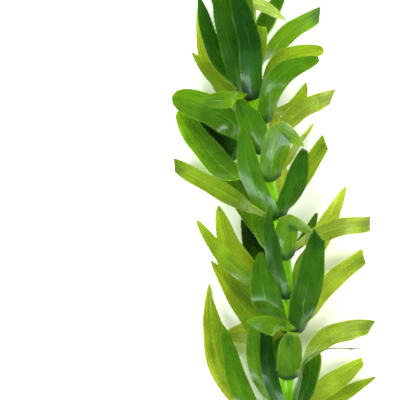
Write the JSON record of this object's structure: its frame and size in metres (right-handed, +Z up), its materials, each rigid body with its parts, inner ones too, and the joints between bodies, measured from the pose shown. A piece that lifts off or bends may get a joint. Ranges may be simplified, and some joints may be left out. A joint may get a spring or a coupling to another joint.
{
  "type": "aquarium plant sprig",
  "caption": "Cut sprig of Brazilian waterweed with a straight stem, whorls of narrow pointed leaves and a crowded growing tip, lying on a flat surface.",
  "frame": {"origin": "centre of the sprig's bounding box, at the level of the surface it lies on", "axes": "+Z up, +Y along the stem towards the growing tip, +X to the right of the stem as seen from above with the tip pointing away"},
  "size_m": [0.0418, 0.1032, 0.0171],
  "materials": {
    "stem": "gloss",
    "leaf": "gloss",
    "growing_tip": "gloss"
  },
  "bodies": {
    "root": {"growing_tip": "growing_tip", "leaf_01_left": "leaf", "leaf_01_lower_left": "leaf", "leaf_01_right": "leaf", "leaf_01_under_left": "leaf", "leaf_02_front_left": "leaf", "leaf_02_front_right": "leaf", "leaf_02_left": "leaf", "leaf_02_right": "leaf", "leaf_02_upper_right": "leaf", "leaf_03_front": "leaf", "leaf_03_left": "leaf", "leaf_03_right": "leaf", "leaf_03_under": "leaf", "leaf_04_front": "leaf", "leaf_04_front_left": "leaf", "leaf_04_front_right": "leaf", "leaf_04_left": "leaf", "leaf_04_right": "leaf", "leaf_04_under_left": "leaf", "leaf_05_far_left": "leaf", "leaf_05_front_left": "leaf", "leaf_05_front_right": "leaf", "leaf_05_left": "leaf", "leaf_05_right": "leaf", "leaf_06_front": "leaf", "leaf_06_front_left": "leaf", "leaf_06_lower_right": "leaf", "leaf_06_right": "leaf", "leaf_06_under_left": "leaf", "leaf_07_front_left": "leaf", "leaf_07_front_right": "leaf", "leaf_07_left": "leaf", "leaf_07_right": "leaf", "leaf_07_under": "leaf", "leaf_08_front": "leaf", "leaf_08_left": "leaf", "leaf_08_right": "leaf", "leaf_09_front_left": "leaf", "leaf_09_left": "leaf", "leaf_09_right": "leaf", "leaf_09_under": "leaf", "leaf_10_front_right": "leaf", "leaf_10_left": "leaf", "leaf_10_right": "leaf", "leaf_10_under_left": "leaf", "leaf_11_front": "leaf", "leaf_11_front_left": "leaf", "leaf_11_left": "leaf", "leaf_11_right": "leaf", "leaf_11_upper_left": "leaf", "leaf_12_front_right": "leaf", "leaf_12_left": "leaf", "leaf_12_right": "leaf", "leaf_13_front": "leaf", "leaf_13_left": "leaf", "leaf_13_right": "leaf", "leaf_14_front_left": "leaf", "leaf_14_front_right": "leaf", "stem": "stem"}
  },
  "joints": []
}
